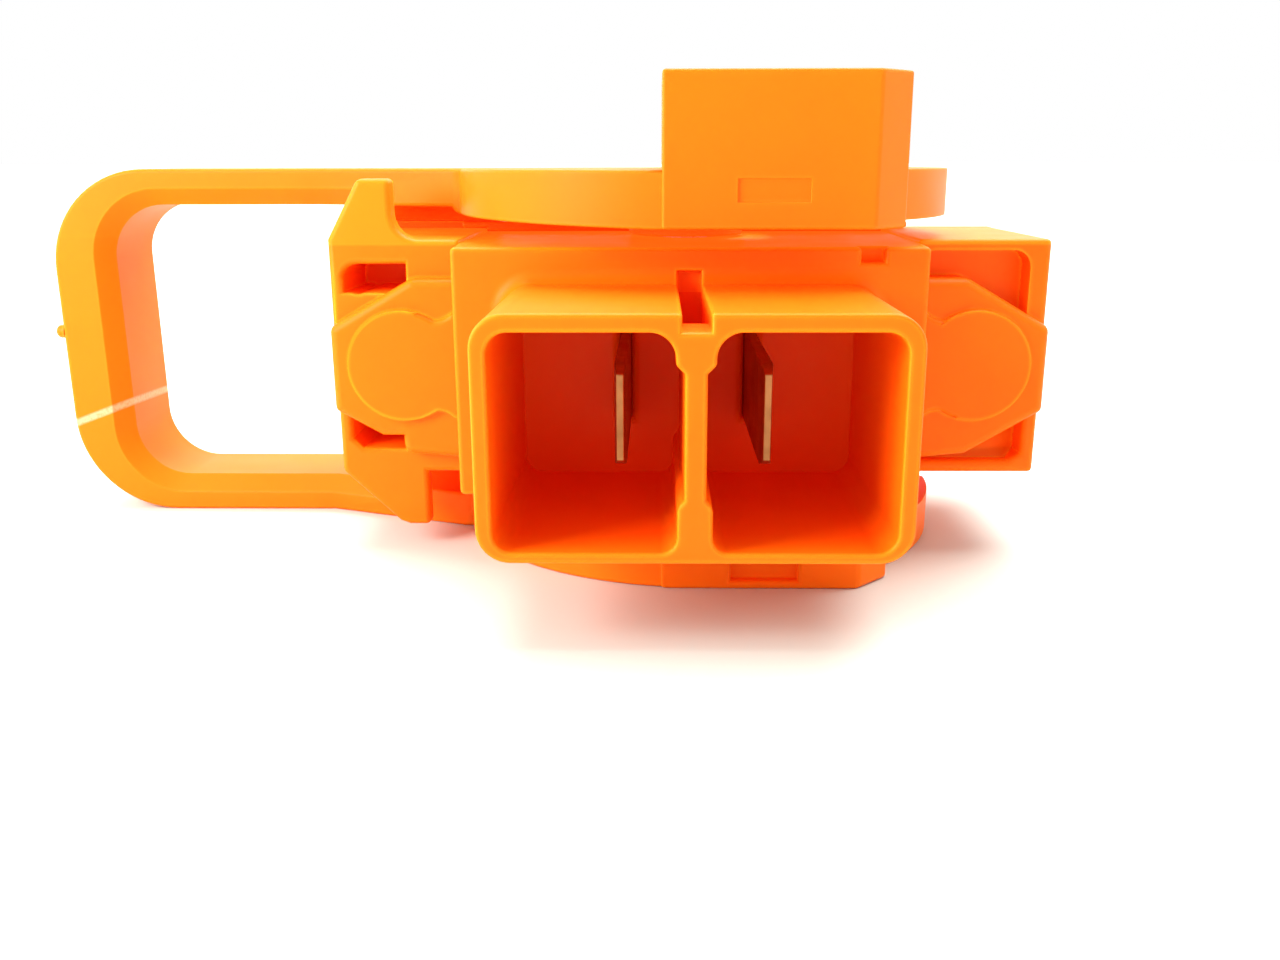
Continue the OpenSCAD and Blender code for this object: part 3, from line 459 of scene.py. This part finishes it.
def edgeWidths(shape, wantedWidth):
    flatTurn, sharpTurn = edgeValues["flatTurn"], edgeValues["sharpTurn"]
    turns = {}
    group = {face.index: face.index for face in shape.faces}

    def leader(table, item):
        while table[item] != item:
            table[item] = table[table[item]]
            item = table[item]
        return item

    for edge in shape.edges:
        turns[edge] = edge.calc_face_angle_signed(0)
        if abs(turns[edge]) < flatTurn:
            one, two = [leader(group, face.index) for face in edge.link_faces]
            group[one] = two
    rims = {}
    for edge in shape.edges:
        if abs(turns[edge]) >= flatTurn:
            for face in edge.link_faces:
                rims.setdefault(leader(group, face.index), []).append(edge)
    widths = {}
    for edge in shape.edges:
        if turns[edge] < sharpTurn:
            continue
        middle = (edge.verts[0].co + edge.verts[1].co) / 2
        along = (edge.verts[1].co - edge.verts[0].co).normalized()
        spots = [edge.calc_length() * share for share in edgeValues["spots"]]
        width = wantedWidth(middle)
        for loop in edge.link_loops:
            ahead = loop.link_loop_next.vert.co - loop.vert.co
            inward = loop.face.normal.cross(ahead).normalized()
            for other in rims[leader(group, loop.face.index)]:
                start, end = other.verts[0].co - middle, other.verts[1].co - middle
                first, last = start.dot(along), end.dot(along)
                beside = max(first, last) >= spots[0] and min(first, last) <= spots[-1]
                if other is edge or not beside or abs(last - first) < edgeValues["leastRun"]:
                    continue
                room = edgeValues["shared" if turns[other] >= sharpTurn else "alone"]
                for spot in spots:
                    share = (spot - first) / (last - first)
                    reach = (start + (end - start) * share).dot(inward)
                    if 0 <= share <= 1 and reach > edgeValues["leastReach"]:
                        width = min(width, reach * room)
        widths[edge] = width
    # edges that run on into each other get the width of the narrowest
    run = {edge: edge for edge in widths}
    for corner in shape.verts:
        ends = [edge for edge in corner.link_edges if edge in widths]
        for i, one in enumerate(ends):
            for two in ends[i + 1:]:
                away = [(edge.other_vert(corner).co - corner.co).normalized()
                        for edge in (one, two)]
                if away[0].dot(away[1]) < -math.cos(edgeValues["runTurn"]):
                    run[leader(run, one)] = leader(run, two)
    narrowest = {}
    for edge, width in widths.items():
        head = leader(run, edge)
        narrowest[head] = min(width, narrowest.get(head, edgeValues["widest"]))
    return {edge: narrowest[leader(run, edge)] for edge in widths}


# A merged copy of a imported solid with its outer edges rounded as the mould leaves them
copyValues = {
    "weld": 0.002 * mm, "flatTurn": math.radians(0.2), "segments": 3,
    "smoothTurn": math.radians(32),
}


# Whether a place in metres is in a box given in millimetres
def inBox(place, low, high):
    return all(low[k] * mm <= place[k] <= high[k] * mm for k in range(3))


def roundedCopy(nodeName, pieceName, body, material, values):
    bpy.ops.object.select_all(action="DESELECT")
    piece = bpy.data.objects.new(pieceName, nodes[nodeName].data.copy())
    bpy.context.scene.collection.objects.link(piece)
    bpy.context.view_layer.objects.active = piece
    piece.select_set(True)
    bpy.ops.object.mode_set(mode="EDIT")
    bpy.ops.mesh.select_all(action="SELECT")
    bpy.ops.mesh.remove_doubles(threshold=copyValues["weld"])
    bpy.ops.mesh.dissolve_limited(angle_limit=copyValues["flatTurn"])
    bpy.ops.object.mode_set(mode="OBJECT")
    shape = bmesh.new()
    shape.from_mesh(piece.data)
    weights = shape.edges.layers.float.new("bevel_weight_edge")
    for low, high, shift in values.get("nudges", ()):
        for corner in shape.verts:
            if inBox(corner.co, low, high):
                corner.co += Vector(shift) * mm

    def wantedWidth(place):
        for low, high, width in values.get("roundings", ()):
            if inBox(place, low, high):
                return width * mm
        return values["usual"] * mm

    widths = edgeWidths(shape, wantedWidth)
    widest = max(widths.values())
    for edge, width in widths.items():
        edge[weights] = width / widest
    shape.to_mesh(piece.data)
    shape.free()
    rounding = piece.modifiers.new("rounding", "BEVEL")
    rounding.limit_method = "WEIGHT"
    rounding.width = widest
    rounding.segments = copyValues["segments"]
    rounding.use_clamp_overlap = False
    rounding.loop_slide = False
    bpy.ops.object.modifier_apply(modifier="rounding")
    bpy.ops.object.shade_smooth_by_angle(angle=copyValues["smoothTurn"])
    evenShade = piece.modifiers.new("evenShade", "WEIGHTED_NORMAL")
    evenShade.keep_sharp = True
    bpy.ops.object.modifier_apply(modifier="evenShade")
    piece.data.materials.clear()
    piece.data.materials.append(material)
    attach(piece, body)
    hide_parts(nodeName)
    print(pieceName, "rounded,", len(piece.data.polygons), "faces")


# Widths and shifts are millimetres, and so are the corners of the boxes that they hold in
far = 200
housingValues = {
    "usual": 0.65,
    "roundings": [
        ((-far, -1, -far), (far, 0.5, far), 0.4),              # rim of the hood
        ((-3, -1, 5), (3, 33, 12), 0.3),                       # keying slot
        ((-38, 33.7, -13), (-30, 34.5, -4), 0.15),             # waist of the left well
        ((-far, 33.7, -far), (far, 34.5, far), 0.7),           # round wells
        ((-far, 34.6, -far), (far, 35.5, far), 1.2),           # ears
        ((-far, 36.9, -far), (far, 37.6, far), 0.8),           # wing faces
    ],
    "nudges": [
        ((30, 41, -16), (45, 41.4, -5), (0, -2.2, 0)),         # floor of the lower pocket
        ((30, 41, 5), (45, 41.4, 16), (0, -0.8, 0)),           # floor of the upper pocket
    ],
}
roundedCopy("plug_housing", "mouldedHousing", "plug", housingOrange,
            housingValues)

leverValues = {
    "usual": 0.6,
    "roundings": [
        ((5, 19.9, 22), (14, 20.4, 25.2), 0.08),               # shallow recess
        ((-5, 15, 15), (30, 48, 40), 0.4),                     # interlock block
        ((-48, 68.5, -18.5), (-28, 71, 18.5), 0.0),            # lips behind the cover
    ],
    "nudges": [
        ((-48, 68.9, 17.8), (-28.9, 71, 18.1), (0, 0, -0.4)),  # edge of the upper lip
        ((-48, 68.9, -18.1), (-28.9, 71, -17.8), (0, 0, 0.4)), # edge of the lower lip
    ],
}
roundedCopy("lever", "mouldedLever", "lever", leverOrange, leverValues)

coverValues = {
    "usual": 0.4,
    "roundings": [((-49, 65, 17.5), (-27, 69, 18.5), 0.05)],   # edge under the upper lip
}
roundedCopy("fuse_cover", "mouldedCover", "plug", coverOrange, coverValues)

# The smaller pieces that show from some side, with the slight edge break of each
smallValues = {
    "cover_screws": ("panHeadScrews", "plug", "plated_steel", zincSteel, 0.3),
    "pivot_pins": ("turnedPins", "plug", "plated_steel", zincSteel, 0.4),
    "pivot_bush_top": ("upperSlideBlock", "plug", "bush_plastic", acetal, 0.3),
    "pivot_bush_bottom": ("lowerSlideBlock", "plug", "bush_plastic", acetal, 0.3),
    "left_busbar": ("leftBlade", "plug", "copper", bareCopper, 0.18),
    "right_busbar": ("rightBlade", "plug", "copper", bareCopper, 0.18),
    "interlock_holder": ("contactHolder", "lever", "holder_plastic", blackNylon, 0.3),
    "interlock_terminal": ("contactStrap", "lever", "contact_brass", brass, 0.08),
}
for nodeName, (pieceName, body, slot, material, width) in smallValues.items():
    roundedCopy(nodeName, pieceName, body, material, {"usual": width})
